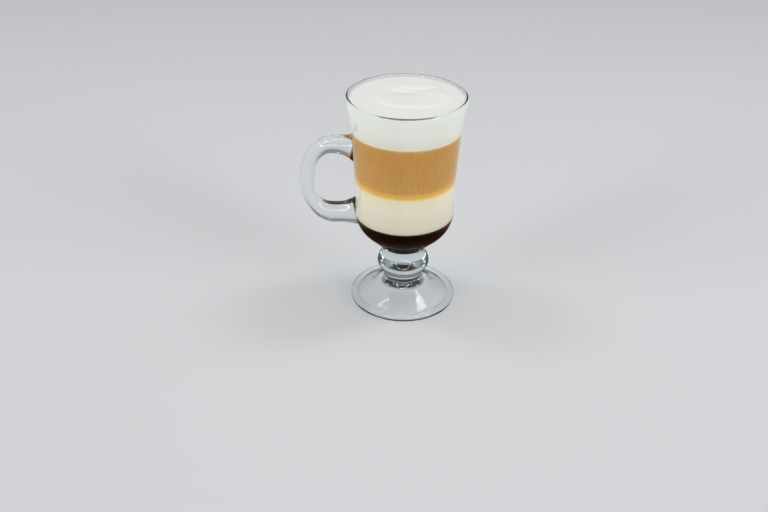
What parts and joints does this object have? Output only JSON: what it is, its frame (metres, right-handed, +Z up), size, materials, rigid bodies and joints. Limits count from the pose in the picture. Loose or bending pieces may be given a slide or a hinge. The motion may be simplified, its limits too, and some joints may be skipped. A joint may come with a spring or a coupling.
{
  "type": "layered caramel macchiato",
  "caption": "Layered coffee drink in a clear footed glass mug with a side handle, with syrup, milk, coffee and foam in bands.",
  "frame": {"origin": "centre of the base of the part's box, at table level; the bowl's axis is 14.975 mm to +X of it", "axes": "+Z up along the bowl's axis, -X towards the handle, -Y towards the viewer of the picture"},
  "size_m": [0.1068, 0.0768, 0.1475],
  "materials": {
    "clear_glass": "clear, smooth, faintly blue-green at the edges",
    "caramel_syrup": null,
    "milk": null,
    "gold_band": null,
    "milky_coffee": null,
    "milk_foam": null
  },
  "bodies": {
    "root": {"glass": "clear_glass", "syrup": "caramel_syrup", "milk": "milk", "gold": "gold_band", "coffee": "milky_coffee", "foam": "milk_foam"}
  },
  "joints": []
}
